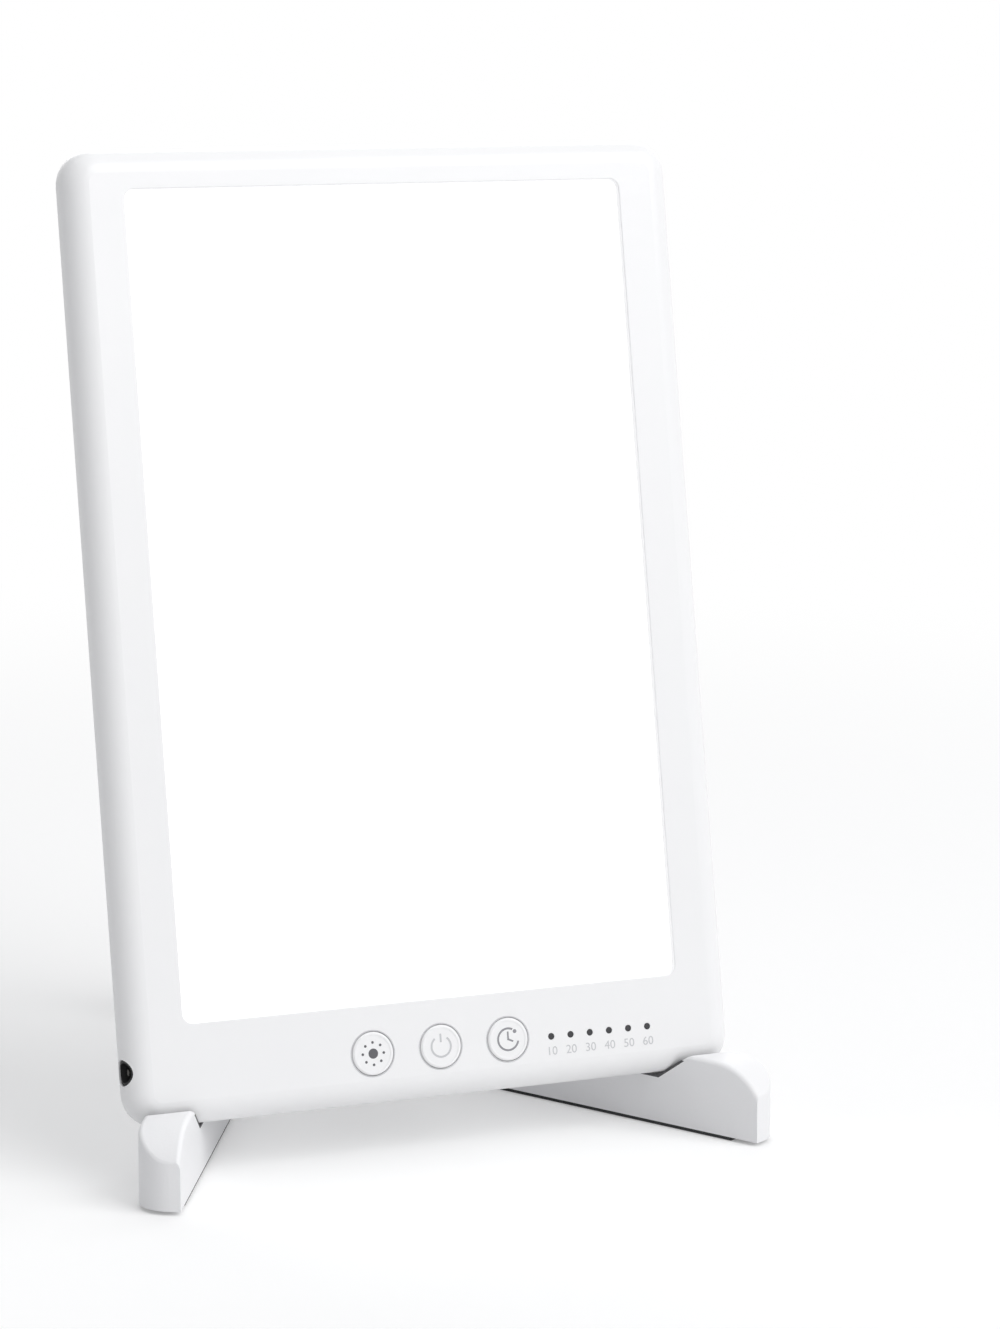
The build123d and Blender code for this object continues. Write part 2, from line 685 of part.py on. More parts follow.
# ---------------------------------------------------------------- hub
with BuildPart() as hub_yoke:
    rods(hub_side, [(0, 0)], cheek_radius, (-hub_half_width, hub_half_width))
    neck_y = hub_y - hub_cap_radius - neck_gap
    neck_end = pin_x + fork_radius
    neck = (
        (-hub_half_width, hub_y), (-hub_half_width, neck_y), (-neck_end, pin_y),
        (neck_end, pin_y), (hub_half_width, neck_y), (hub_half_width, hub_y)
    )
    prism(pin_plane, neck, (yoke_bottom, yoke_top))
    rods(pin_plane, pin_places, fork_radius, (yoke_bottom, yoke_top))
    slot = (-slot_half_width, slot_half_width)
    rods(hub_side, [(0, 0)], arm_barrel_radius + arm_clearance, slot, Mode.SUBTRACT)
    arm_way = (-cheek_radius * 2, arm_thickness / 2 + arm_clearance)
    block(arm_side, (0, arm_length / 2), arm_way, slot, Mode.SUBTRACT)
    rear_way = (slot_rear_height - hub_height, cheek_radius)
    block(hub_side, (0, cheek_radius), rear_way, slot, Mode.SUBTRACT)
    fork_way = (pin_y - fork_radius * 2, pin_y + fork_gap_depth)
    block(pin_plane, (-neck_end, neck_end), fork_way, fork_gap, Mode.SUBTRACT)
    rods(pin_plane, pin_places, pin_radius + running_clearance, (yoke_bottom, yoke_top), Mode.SUBTRACT)
    axle_bore = axle_radius + running_clearance
    rods(hub_side, [(0, 0)], axle_bore, (-hub_half_width, hub_half_width), Mode.SUBTRACT)
    head_bore = axle_head_radius + axle_head_clearance
    head_pocket = hub_half_width - axle_head - axle_head_recess
    for pocket in ((-hub_half_width, -head_pocket), (head_pocket, hub_half_width)):
        rods(hub_side, [(0, 0)], head_bore, pocket, Mode.SUBTRACT)
finish(hub_yoke.part, "hub_yoke")

with BuildPart() as hub_foot_pad:
    foot_pad_span = (-foot_pad_length / 2, foot_pad_length / 2)
    rounded_slab(pin_plane, foot_pad_width / 2, foot_pad_span, foot_pad_corner, (0, yoke_bottom))
finish(hub_foot_pad.part, "hub_foot_pad")

with BuildPart() as hub_axle:
    head_face = head_pocket + axle_head
    rods(hub_side, [(0, 0)], axle_head_radius, (-head_face, -head_pocket))
    rods(hub_side, [(0, 0)], axle_radius, (-head_pocket, head_face))
finish(hub_axle.part, "hub_axle")

with BuildPart() as axle_nut:
    with BuildSketch(hub_side.offset(head_pocket)) as nut_outline:
        RegularPolygon(axle_head_radius, side_count=6)
        Circle(axle_radius + running_clearance, mode=Mode.SUBTRACT)
    extrude(amount=axle_head)
finish(axle_nut.part, "axle_nut")

with BuildPart() as right_hub_cap:
    cap_depth = (hub_half_width, hub_half_width + hub_cap_thickness)
    rods(hub_side, [(0, 0)], hub_cap_radius, cap_depth)
    fillet(right_hub_cap.faces().sort_by(Axis.X)[-1].edges(), hub_cap_edge)
finish(right_hub_cap.part, "right_hub_cap")
left_hub_cap = mirrored(right_hub_cap.part)
finish(left_hub_cap, "left_hub_cap")

with BuildPart() as arm_washers:
    washer_face = slot_half_width - washer_clearance
    for washer_depth in ((-washer_face, washer_thickness - washer_face), (washer_face - washer_thickness, washer_face)):
        rods(hub_side, [(0, 0)], washer_radius, washer_depth)
        rods(hub_side, [(0, 0)], axle_bore, washer_depth, Mode.SUBTRACT)
finish(arm_washers.part, "arm_washers")

with BuildPart() as leg_pins:
    rods(pin_plane, pin_places, pin_radius, (yoke_bottom, yoke_top))
    rods(pin_plane, pin_places, pin_head_radius, (yoke_top, yoke_top + pin_head))
finish(leg_pins.part, "leg_pins")

# ---------------------------------------------------------------- arm
with BuildPart() as arm:
    arm_across = (-arm_half_width, arm_half_width)
    block(arm_side, (0, arm_length), (-arm_thickness / 2, arm_thickness / 2), arm_across)
    fillet(arm.edges().filter_by(Axis((0, 0, 0), arm_side.x_dir)), arm_edge_radius)
    rods(arm_side, [(0, 0)], arm_barrel_radius, arm_across)
    knuckle = [(arm_length, 0)]
    for ear_room in ((-arm_half_width, -knuckle_half_width), (knuckle_half_width, arm_half_width)):
        rods(arm_side, knuckle, knuckle_clear_radius, ear_room, Mode.SUBTRACT)
    rods(arm_side, knuckle, knuckle_radius, (-knuckle_half_width, knuckle_half_width))
    rods(arm_side, knuckle, rest_pin_radius + running_clearance, arm_across, Mode.SUBTRACT)
    rods(arm_side, [(0, 0)], axle_bore, arm_across, Mode.SUBTRACT)
finish(arm.part, "arm")


# ---------------------------------------------------------------- backrest
def pad_outline(plane, clearance):
    """Long pad with round ends, as its recess or a clearance smaller."""
    half = rest_pad_half - clearance
    with BuildSketch(plane) as outline:
        with Locations((0, (rest_pad_start + rest_pad_end) / 2)):
            SlotOverall(rest_pad_end - rest_pad_start - 2 * clearance, 2 * half, rotation=90)
    return outline.sketch


with BuildPart() as backrest:
    with BuildSketch(rest_face.offset(-rest_back)) as rest_outline:
        with Locations((0, (rest_start + rest_straight) / 2)):
            Rectangle(rest_width, rest_straight - rest_start)
        with Locations((0, rest_straight)):
            Circle(rest_width / 2)
    extrude(amount=rest_back + rest_front)
    rear_face = backrest.faces().sort_by(Axis(rest_face.origin, rest_face.z_dir))[0]
    fillet(rear_face.edges(), rest_edge_radius)
    pad_recess = rest_face.offset(rest_pad_floor)
    extrude(pad_outline(pad_recess, 0), amount=rest_pad_recess, mode=Mode.SUBTRACT)
    for ear in ((-ear_outer, -ear_inner), (ear_inner, ear_outer)):
        rods(rest_side, [(0, 0)], knuckle_radius, ear)
        block(rest_side, (0, ear_length), (-rest_back, knuckle_radius), ear)
    bore_length = (-ear_outer, ear_outer)
    rods(rest_side, [(0, 0)], rest_pin_radius + running_clearance, bore_length, Mode.SUBTRACT)
finish(backrest.part, "backrest")

with BuildPart() as backrest_pad:
    extrude(pad_outline(pad_recess, rest_pad_clearance), amount=rest_pad_thickness)
finish(backrest_pad.part, "backrest_pad")

with BuildPart() as backrest_pin:
    pin_end = ear_outer + rest_pin_overhang
    rods(rest_side, [(0, 0)], rest_pin_radius, (-pin_end, pin_end))
    for head in ((-pin_end - rest_pin_head, -pin_end), (pin_end, pin_end + rest_pin_head)):
        rods(rest_side, [(0, 0)], rest_pin_head_radius, head)
finish(backrest_pin.part, "backrest_pin")

with BuildPart() as backrest_washers:
    washer_outer = rest_washer_inner + rest_washer_thickness
    for washer_depth in ((-washer_outer, -rest_washer_inner), (rest_washer_inner, washer_outer)):
        rods(rest_side, [(0, 0)], rest_washer_radius, washer_depth)
        rods(rest_side, [(0, 0)], rest_pin_radius + running_clearance, washer_depth, Mode.SUBTRACT)
finish(backrest_washers.part, "backrest_washers")
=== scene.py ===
# %% [markdown]
# # A light therapy lamp on its folding stand
# The lamp is a thin white tablet with a lit panel, three round keys and six small indicator
# windows. It stands in the notches of two legs and leans on a hinged backrest. The solid parts
# come ready-made as a frame, so this lesson is about finishes, printed marks, a moulded pad and
# studio light. The frame must be loaded first, because the places and main sizes are read from it.

# %% Load the frame
import bpy
import json
from math import asin, atan2, cos, pi, radians, sin
from mathutils import Matrix, Vector


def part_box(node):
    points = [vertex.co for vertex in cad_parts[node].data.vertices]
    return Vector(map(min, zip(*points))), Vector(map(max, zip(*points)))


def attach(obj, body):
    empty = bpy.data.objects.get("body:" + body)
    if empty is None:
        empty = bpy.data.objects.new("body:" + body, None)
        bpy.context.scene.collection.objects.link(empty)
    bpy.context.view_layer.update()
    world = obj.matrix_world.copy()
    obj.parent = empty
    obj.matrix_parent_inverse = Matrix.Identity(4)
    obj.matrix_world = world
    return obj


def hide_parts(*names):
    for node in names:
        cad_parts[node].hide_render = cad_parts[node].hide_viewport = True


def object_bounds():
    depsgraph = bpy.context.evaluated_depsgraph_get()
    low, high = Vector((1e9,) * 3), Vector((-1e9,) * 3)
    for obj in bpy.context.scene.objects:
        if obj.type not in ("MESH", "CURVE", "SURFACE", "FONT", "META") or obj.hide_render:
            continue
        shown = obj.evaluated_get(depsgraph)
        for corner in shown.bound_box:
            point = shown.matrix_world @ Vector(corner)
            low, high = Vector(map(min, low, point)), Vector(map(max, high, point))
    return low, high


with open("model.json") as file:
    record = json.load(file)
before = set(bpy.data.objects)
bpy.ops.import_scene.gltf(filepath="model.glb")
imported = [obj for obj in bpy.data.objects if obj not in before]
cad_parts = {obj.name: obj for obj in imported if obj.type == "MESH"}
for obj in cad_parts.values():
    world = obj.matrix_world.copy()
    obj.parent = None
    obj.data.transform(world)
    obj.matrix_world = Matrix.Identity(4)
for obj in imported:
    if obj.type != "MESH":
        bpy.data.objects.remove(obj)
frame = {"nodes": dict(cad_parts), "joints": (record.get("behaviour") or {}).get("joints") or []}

cad_low, cad_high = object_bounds()
print("CAD box", [round(value, 4) for value in (*cad_low, *cad_high)])

# %% [markdown]
# ## Sizes and places
# A piece drawn on the tilted lamp is easiest to model flat on the ground, in millimetres, and to
# tilt at the end. The recline hinge gives the point on the lamp's lower edge that everything is
# measured from, and a key's direction of travel gives the lean.

# %% Places on the lamp
MM = 0.001
joints = {joint["name"]: joint for joint in frame["joints"]}
lamp_point = Vector(joints["lamp_recline"]["pos_m"])
press_way = Vector(joints["power_press"]["axis"])
lean = asin(-press_way.z)
lamp_up = Vector((0, sin(lean), cos(lean)))
lamp_front = -press_way


def on_plane(origin, up, front):
    """Matrix from the XY plane to a plane whose Y runs up and whose Z faces front."""
    side = up.cross(front)
    turn = Matrix((side, up, front)).transposed().to_4x4()
    return Matrix.Translation(origin) @ turn


lamp_plane = on_plane(lamp_point, lamp_up, lamp_front)
print("lean", round(lean * 180 / pi, 2), "degrees")


# %% Sizes on a plane
def plane_box(node, plane):
    """Lowest and highest corner of a CAD node along a plane's own axes, in millimetres."""
    to_plane = plane.inverted()
    places = [to_plane @ vertex.co / MM for vertex in frame["nodes"][node].data.vertices]
    low = Vector([min(place[axis] for place in places) for axis in range(3)])
    high = Vector([max(place[axis] for place in places) for axis in range(3)])
    return low, high


face_mm = plane_box("front_frame", lamp_plane)[1].z
key_mm = plane_box("power_button", lamp_plane)[1].z
key_names = ("brightness", "power", "timer")
print("mm in front of the hinge: bezel", round(face_mm, 2), "keys", round(key_mm, 2))

# %% [markdown]
# ## Shared surface effects
# Moulded plastic is never one flat colour. The mould leaves a fine grain, the wall cools unevenly
# and hands leave faint marks in the gloss. Each effect is a node group with named inputs, so that
# every material can use it with its own strength. Object coordinates keep the pattern fixed to
# the piece, whatever the camera does.


# %% Helpers for node trees
def new_group(name, inputs, outputs):
    """Empty node group with float inputs (name, default) and named outputs."""
    group = bpy.data.node_groups.new(name, "ShaderNodeTree")
    for label, value in inputs:
        socket = group.interface.new_socket(label, in_out="INPUT", socket_type="NodeSocketFloat")
        socket.default_value = value
    for label, kind in outputs:
        group.interface.new_socket(label, in_out="OUTPUT", socket_type=kind)
    start = group.nodes.new("NodeGroupInput")
    end = group.nodes.new("NodeGroupOutput")
    return group, start, end


def feed(tree, socket, value):
    """Set an input to a plain number, or link it to another node's output."""
    if isinstance(value, (int, float)):
        socket.default_value = value
    else:
        tree.links.new(value, socket)


def noise_node(tree, coordinates, scale, detail, roughness=0.5):
    """Noise texture on the given coordinates, whose scale may be a socket."""
    node = tree.nodes.new("ShaderNodeTexNoise")
    feed(tree, node.inputs["Scale"], scale)
    node.inputs["Detail"].default_value = detail
    node.inputs["Roughness"].default_value = roughness
    tree.links.new(coordinates, node.inputs["Vector"])
    return node


def math_node(tree, operation, *values):
    """Output of a math node whose inputs are sockets or plain numbers."""
    node = tree.nodes.new("ShaderNodeMath")
    node.operation = operation
    for socket, value in zip(node.inputs, values):
        feed(tree, socket, value)
    return node.outputs[0]


# %% [markdown]
# ### Mould grain
# A spark-eroded mould leaves soft pits about a third of a millimetre wide. A noise texture alone
# looks like cloud, so a Voronoi texture gives the pits their round shape and the noise breaks up
# their regular size.

# %% Mould grain group
GRAIN_SCALE = 3000.0
TONE_SCALE = 18.0
BREAKUP_SCALE = 900.0
BREAKUP_SHARE = 0.6


def build_mould_grain():
    """Height of a fine pitted grain, and a slow change of tone across the wall."""
    inputs = (("Grain Scale", GRAIN_SCALE), ("Tone Scale", TONE_SCALE))
    outputs = (("Height", "NodeSocketFloat"), ("Tone", "NodeSocketFloat"))
    group, start, end = new_group("Mould grain", inputs, outputs)
    place = group.nodes.new("ShaderNodeTexCoord").outputs["Object"]
    pits = group.nodes.new("ShaderNodeTexVoronoi")
    pits.feature = "SMOOTH_F1"
    group.links.new(place, pits.inputs["Vector"])
    group.links.new(start.outputs["Grain Scale"], pits.inputs["Scale"])
    breakup = noise_node(group, place, BREAKUP_SCALE, detail=3.0)
    tone = noise_node(group, place, start.outputs["Tone Scale"], detail=4.0, roughness=0.55)
    height = math_node(
        group, "MULTIPLY_ADD", breakup.outputs["Fac"], BREAKUP_SHARE, pits.outputs["Distance"]
    )
    group.links.new(height, end.inputs["Height"])
    group.links.new(tone.outputs["Fac"], end.inputs["Tone"])
    return group


mould_grain = build_mould_grain()

# %% [markdown]
# ### Handling marks
# Gloss plastic shows where it was touched and wiped: wide soft patches, with finer streaks that
# run across. The marks only change the roughness, so the colour stays clean.

# %% Handling marks group
PATCH_SCALE = 30.0
STREAK_STRETCH = (60.0, 60.0, 420.0)
CLEAN_LEVEL = 0.18
TOUCHED_LEVEL = 0.42


def build_handling():
    """Mask of soft smudges, from 0, clean, to 1, touched."""
    inputs = (("Patch Scale", PATCH_SCALE),)
    outputs = (("Marks", "NodeSocketFloat"),)
    group, start, end = new_group("Handling marks", inputs, outputs)
    place = group.nodes.new("ShaderNodeTexCoord").outputs["Object"]
    patches = noise_node(group, place, start.outputs["Patch Scale"], detail=5.0, roughness=0.6)
    stretch = group.nodes.new("ShaderNodeMapping")
    stretch.inputs["Scale"].default_value = STREAK_STRETCH
    group.links.new(place, stretch.inputs["Vector"])
    streaks = noise_node(group, stretch.outputs["Vector"], 1.0, detail=2.0)
    both = math_node(group, "MULTIPLY", patches.outputs["Fac"], streaks.outputs["Fac"])
    limits = group.nodes.new("ShaderNodeMapRange")
    limits.inputs["From Min"].default_value = CLEAN_LEVEL
    limits.inputs["From Max"].default_value = TOUCHED_LEVEL
    group.links.new(both, limits.inputs["Value"])
    group.links.new(limits.outputs["Result"], end.inputs["Marks"])
    return group


handling_marks = build_handling()

# %% [markdown]
# ### Machined metal
# Turned pins and rolled sheet show fine parallel lines. Noise that is stretched 150 times along
# one direction gives them, and the Mapping node chooses the direction.

# %% Machined lines group
LINE_STRETCH = (9000.0, 60.0, 9000.0)
METAL_PATCH_SCALE = 60.0


def build_machined():
    """Height of fine lines that run along one direction, and a slow change of tone."""
    inputs = (("Line Scale", 1.0),)
    outputs = (("Height", "NodeSocketFloat"), ("Tone", "NodeSocketFloat"))
    group, start, end = new_group("Machined lines", inputs, outputs)
    place = group.nodes.new("ShaderNodeTexCoord").outputs["Object"]
    stretch = group.nodes.new("ShaderNodeMapping")
    stretch.inputs["Scale"].default_value = LINE_STRETCH
    group.links.new(place, stretch.inputs["Vector"])
    lines = noise_node(group, stretch.outputs["Vector"], start.outputs["Line Scale"], detail=2.0)
    patches = noise_node(group, place, METAL_PATCH_SCALE, detail=3.0)
    group.links.new(lines.outputs["Fac"], end.inputs["Height"])
    group.links.new(patches.outputs["Fac"], end.inputs["Tone"])
    return group


machined_lines = build_machined()

# %% [markdown]
# ## Materials
# Every material here follows one pattern: two close tones mixed by a slow mask, a roughness that
# the handling marks change a little, and a bump from the grain. A helper wires the pattern and
# each finish below only states its own tones and strengths. After the two tones come the
# roughness, what the marks add to it, the strength of the bump and the pits per metre.

# %% One pattern for every finish
GRAIN_DEPTH = 0.00005
LINE_DEPTH = 0.00002
METAL_MARKS = 0.08
METAL_BUMP = 0.25


def finish_from_group(
    name, group, light, dark, rough, marks, bump, distance, settings=(), values=()
):
    """Material of two tones, a roughness range and a bump whose height comes from a group."""
    material = bpy.data.materials.new(name)
    material.use_nodes = True
    tree = material.node_tree
    shader = tree.nodes["Principled BSDF"]
    source = tree.nodes.new("ShaderNodeGroup")
    source.node_tree = group
    for label, value in values:
        source.inputs[label].default_value = value
    tones = tree.nodes.new("ShaderNodeMix")
    tones.data_type = "RGBA"
    tones.inputs["A"].default_value = (*dark, 1.0)
    tones.inputs["B"].default_value = (*light, 1.0)
    tree.links.new(source.outputs["Tone"], tones.inputs["Factor"])
    tree.links.new(tones.outputs["Result"], shader.inputs["Base Color"])
    touched = tree.nodes.new("ShaderNodeGroup")
    touched.node_tree = handling_marks
    gloss = tree.nodes.new("ShaderNodeMapRange")
    gloss.inputs["To Min"].default_value = rough
    gloss.inputs["To Max"].default_value = rough + marks
    tree.links.new(touched.outputs["Marks"], gloss.inputs["Value"])
    tree.links.new(gloss.outputs["Result"], shader.inputs["Roughness"])
    relief = tree.nodes.new("ShaderNodeBump")
    relief.inputs["Strength"].default_value = bump
    relief.inputs["Distance"].default_value = distance
    tree.links.new(source.outputs["Height"], relief.inputs["Height"])
    tree.links.new(relief.outputs["Normal"], shader.inputs["Normal"])
    for label, value in settings:
        shader.inputs[label].default_value = value
    return material


def moulded(name, light, dark, rough, marks, bump, grain_scale=GRAIN_SCALE, settings=()):
    """Injection-moulded plastic or rubber."""
    values = (("Grain Scale", grain_scale),)
    return finish_from_group(
        name, mould_grain, light, dark, rough, marks, bump, GRAIN_DEPTH, settings, values
    )


def metal(name, light, dark, rough):
    """Machined or rolled metal."""
    settings = (("Metallic", 1.0),)
    return finish_from_group(
        name, machined_lines, light, dark, rough, METAL_MARKS, METAL_BUMP, LINE_DEPTH, settings
    )


# %% [markdown]
# ### White casing, stand and keys
# The lamp's bezel is polished a little and its stand is matt, so they share a colour but not a
# grain. A thin coat gives the bezel its second, sharper highlight.

# %% White plastics
casing_white = moulded(
    "Casing white", (0.90, 0.90, 0.905), (0.875, 0.875, 0.885), 0.30, 0.10, 0.08, 2600.0,
    (("Coat Weight", 0.25), ("Coat Roughness", 0.18))
)
back_white = moulded(
    "Back white", (0.88, 0.88, 0.885), (0.85, 0.85, 0.86), 0.42, 0.08, 0.35, 1500.0
)
stand_white = moulded(
    "Stand white", (0.885, 0.885, 0.895), (0.86, 0.86, 0.875), 0.46, 0.08, 0.30, 1700.0
)
key_white = moulded(
    "Key white", (0.91, 0.91, 0.915), (0.885, 0.885, 0.895), 0.34, 0.08, 0.10, 2600.0
)

# %% [markdown]
# ### Greys, rubber and small plastics
# The hub caps are white plastic tinted pale grey as painted shade, the tone that a white face
# turned to the side takes in shade. The ring around each key is a little darker than the caps. The
# foot strips, the notch liners and the backrest pad are soft rubber, which scatters light and so
# stays rough.

# %% Grey and black plastics
# Painted shade: the caps are white plastic, tinted to the grey that a white face turned to the
# side takes in shade.
cap_grey_painted_shade = moulded("Cap grey, painted shade", (0.74, 0.74, 0.75), (0.69, 0.69, 0.70), 0.42, 0.10, 0.25, 1700.0)
ring_grey = moulded("Ring grey", (0.62, 0.62, 0.64), (0.56, 0.56, 0.58), 0.38, 0.08, 0.05)
washer_natural = moulded("Washer nylon", (0.80, 0.79, 0.75), (0.74, 0.73, 0.69), 0.45, 0.10, 0.15)
rubber_black = moulded(
    "Black rubber", (0.030, 0.030, 0.032), (0.018, 0.018, 0.020), 0.72, 0.10, 0.60, 1900.0
)
rubber_grey = moulded(
    "Notch rubber", (0.085, 0.085, 0.090), (0.060, 0.060, 0.064), 0.68, 0.10, 0.50, 1900.0
)
pad_grey = moulded("Pad grey", (0.46, 0.46, 0.465), (0.40, 0.40, 0.405), 0.62, 0.12, 0.60, 1300.0)
# Black plastic made darker than its own black, as painted shade for the inside of the power inlet.
socket_black_and_shade = moulded(
    "Socket black and painted shade", (0.008, 0.008, 0.009), (0.004, 0.004, 0.005), 0.60, 0.12, 0.20
)
lead_red = moulded("Lead red", (0.62, 0.05, 0.04), (0.50, 0.04, 0.03), 0.45, 0.10, 0.10)
strip_white = moulded(
    "Strip board white", (0.84, 0.84, 0.80), (0.78, 0.78, 0.74), 0.45, 0.10, 0.10
)

# %% Metals
steel = metal("Turned steel", (0.62, 0.62, 0.64), (0.52, 0.52, 0.54), 0.28)
sheet_aluminium = metal("Rolled aluminium", (0.78, 0.79, 0.80), (0.70, 0.71, 0.72), 0.34)
# Nickel made far darker than the metal is, as painted shade for the pin deep inside the power
# inlet.
nickel_with_painted_shade = metal("Nickel with painted shade", (0.13, 0.125, 0.12), (0.09, 0.088, 0.085), 0.50)

# %% [markdown]
# ### Circuit board
# Solder mask is green and glossy, with a faint pattern of copper tracks under it. A brick texture
# is a cheap stand-in for straight tracks, because its mortar lines form long right-angled runs.

# %% Circuit board material
MASK_LIGHT = (0.05, 0.25, 0.11)
MASK_DARK = (0.04, 0.22, 0.10)
TRACK_GREEN = (0.12, 0.36, 0.16)
TRACK_SCALE = 260.0
TRACK_WIDTH = 0.03


def build_circuit_board():
    """Green solder mask over straight tracks, which take the place of the slow tones."""
    board = moulded("Circuit board", MASK_LIGHT, MASK_DARK, 0.28, 0.12, 0.10)
    tree = board.node_tree
    shader = tree.nodes["Principled BSDF"]
    place = tree.nodes.new("ShaderNodeTexCoord").outputs["Object"]
    tracks = tree.nodes.new("ShaderNodeTexBrick")
    tracks.inputs["Scale"].default_value = TRACK_SCALE
    tracks.inputs["Mortar Size"].default_value = TRACK_WIDTH
    tracks.inputs["Color1"].default_value = (*MASK_DARK, 1.0)
    tracks.inputs["Color2"].default_value = (*MASK_LIGHT, 1.0)
    tracks.inputs["Mortar"].default_value = (*TRACK_GREEN, 1.0)
    turn = tree.nodes.new("ShaderNodeMapping")
    turn.inputs["Rotation"].default_value = (pi / 2, 0, 0)
    tree.links.new(place, turn.inputs["Vector"])
    tree.links.new(turn.outputs["Vector"], tracks.inputs["Vector"])
    tree.links.new(tracks.outputs["Color"], shader.inputs["Base Color"])
    return board


circuit_green = build_circuit_board()

# %% [markdown]
# ### Lit panel
# The diffuser is opal acrylic lit from its edges by two rows of LEDs. It is almost evenly bright,
# with a slight fall towards the middle, and its surface has a satin grain. The glow is an
# emission colour on the same shader, so that the panel still shows a soft reflection.

# %% Diffuser material
MIDDLE_GLOW = (0.97, 0.98, 1.0)
EDGE_GLOW = (1.0, 1.0, 1.0)
GLOW_STRENGTH = 0.55


def build_lit_panel():
    """Opal acrylic that glows, a little brighter near the LED rows at its sides."""
    panel = moulded(
        "Lit diffuser", (0.95, 0.95, 0.95), (0.92, 0.92, 0.92), 0.48, 0.04, 0.15, 2200.0
    )
    tree = panel.node_tree
    shader = tree.nodes["Principled BSDF"]
    place = tree.nodes.new("ShaderNodeTexCoord").outputs["Object"]
    split = tree.nodes.new("ShaderNodeSeparateXYZ")
    tree.links.new(place, split.inputs["Vector"])
    across = math_node(tree, "ABSOLUTE", split.outputs["X"])
    glow = tree.nodes.new("ShaderNodeMapRange")
    glow.inputs["From Max"].default_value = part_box("diffuser_panel")[1].x
    tree.links.new(across, glow.inputs["Value"])
    tones = tree.nodes.new("ShaderNodeMix")
    tones.data_type = "RGBA"
    tones.inputs["A"].default_value = (*MIDDLE_GLOW, 1.0)
    tones.inputs["B"].default_value = (*EDGE_GLOW, 1.0)
    tree.links.new(glow.outputs["Result"], tones.inputs["Factor"])
    tree.links.new(tones.outputs["Result"], shader.inputs["Emission Color"])
    shader.inputs["Emission Strength"].default_value = GLOW_STRENGTH
    return panel


lit_panel = build_lit_panel()

# %% [markdown]
# ### Clear plastics and LEDs
# The light guide is clear acrylic. The indicator light pipe is smoked, so that its ends show as
# dark dots in the bezel. The LEDs show the yellow of their phosphor.

# %% Clear and smoked plastics, film and LEDs
ACRYLIC_CLARITY = 0.85
ACRYLIC_IOR = 1.49
FLOW_SHADE = 0.95


def clear_plastic(name, tint, rough):
    """Clear acrylic with a faint change of tone."""
    shaded = tuple(FLOW_SHADE * value for value in tint)
    acrylic = moulded(name, tint, shaded, rough, 0.05, 0.03)
    shader = acrylic.node_tree.nodes["Principled BSDF"]
    shader.inputs["Transmission Weight"].default_value = ACRYLIC_CLARITY
    shader.inputs["IOR"].default_value = ACRYLIC_IOR
    return acrylic


guide_acrylic = clear_plastic("Guide acrylic", (0.93, 0.96, 0.97), 0.05)
smoked_dot = moulded(
    "Smoked window", (0.045, 0.045, 0.050), (0.030, 0.030, 0.034), 0.20, 0.06, 0.03
)
reflector_white = moulded(
    "Reflector film", (0.93, 0.93, 0.93), (0.90, 0.90, 0.90), 0.55, 0.05, 0.05
)
led_phosphor = moulded("LED phosphor", (0.93, 0.80, 0.30), (0.88, 0.74, 0.26), 0.30, 0.05, 0.05)

# %% [markdown]
# ## Dress the frame
# The CAD nodes keep their shape and get the finishes above. One table says which node wears
# which finish, so a missing node is easy to see.

# %% Give each node its finish
node_finishes = {
    casing_white: ("front_frame",),
    back_white: ("rear_cover",),
    stand_white: ("left_leg", "right_leg", "hub_yoke", "arm", "backrest"),
    key_white: ("brightness_button", "power_button", "timer_button"),
    cap_grey_painted_shade: ("left_hub_cap", "right_hub_cap"),
    washer_natural: ("arm_washers", "backrest_washers"),
    rubber_black: ("left_foot_strip", "right_foot_strip", "hub_foot_pad"),
    rubber_grey: ("left_notch_pad", "right_notch_pad"),
    pad_grey: ("backrest_pad",),
    socket_black_and_shade: ("dc_jack", "board_components", "tact_switches"),
    lead_red: ("led_leads",),
    strip_white: ("left_led_strip", "right_led_strip"),
    steel: ("cover_screws", "board_screws", "hub_axle", "axle_nut", "leg_pins", "backrest_pin"),
    sheet_aluminium: ("back_plate",),
    nickel_with_painted_shade: ("dc_jack_pin",),
    circuit_green: ("control_board",),
    lit_panel: ("diffuser_panel",),
    guide_acrylic: ("light_guide_plate",),
    smoked_dot: ("indicator_light_guide",),
    reflector_white: ("reflector_sheet",),
    led_phosphor: ("left_leds", "right_leds", "indicator_leds"),
}
for finish, names in node_finishes.items():
    for name in names:
        materials = frame["nodes"][name].data.materials
        materials.clear()
        materials.append(finish)
dressed = sum(len(names) for names in node_finishes.values())
print("nodes dressed", dressed, "of", len(frame["nodes"]))

# %% [markdown]
# ## Modelling helpers
# Each new piece is modelled flat, in millimetres, and then set on its plane and scaled to
# metres in one step. Applying that step leaves the object at the origin with its place in its
# mesh, so that it can ride on a body and its pattern stays put.

# %% Start, soften, settle and join pieces
SOFT_SEGMENTS = 3


def clear_selection():
    """Select nothing, so that the next operator acts on one piece only."""
    bpy.ops.object.select_all(action="DESELECT")


def soften(piece, width):
    """Round the sharp edges of a piece."""
    bpy.context.view_layer.objects.active = piece
    rounding = piece.modifiers.new("Soft edges", "BEVEL")
    rounding.width = width
    rounding.segments = SOFT_SEGMENTS
    rounding.limit_method = "ANGLE"
    bpy.ops.object.modifier_apply(modifier=rounding.name)


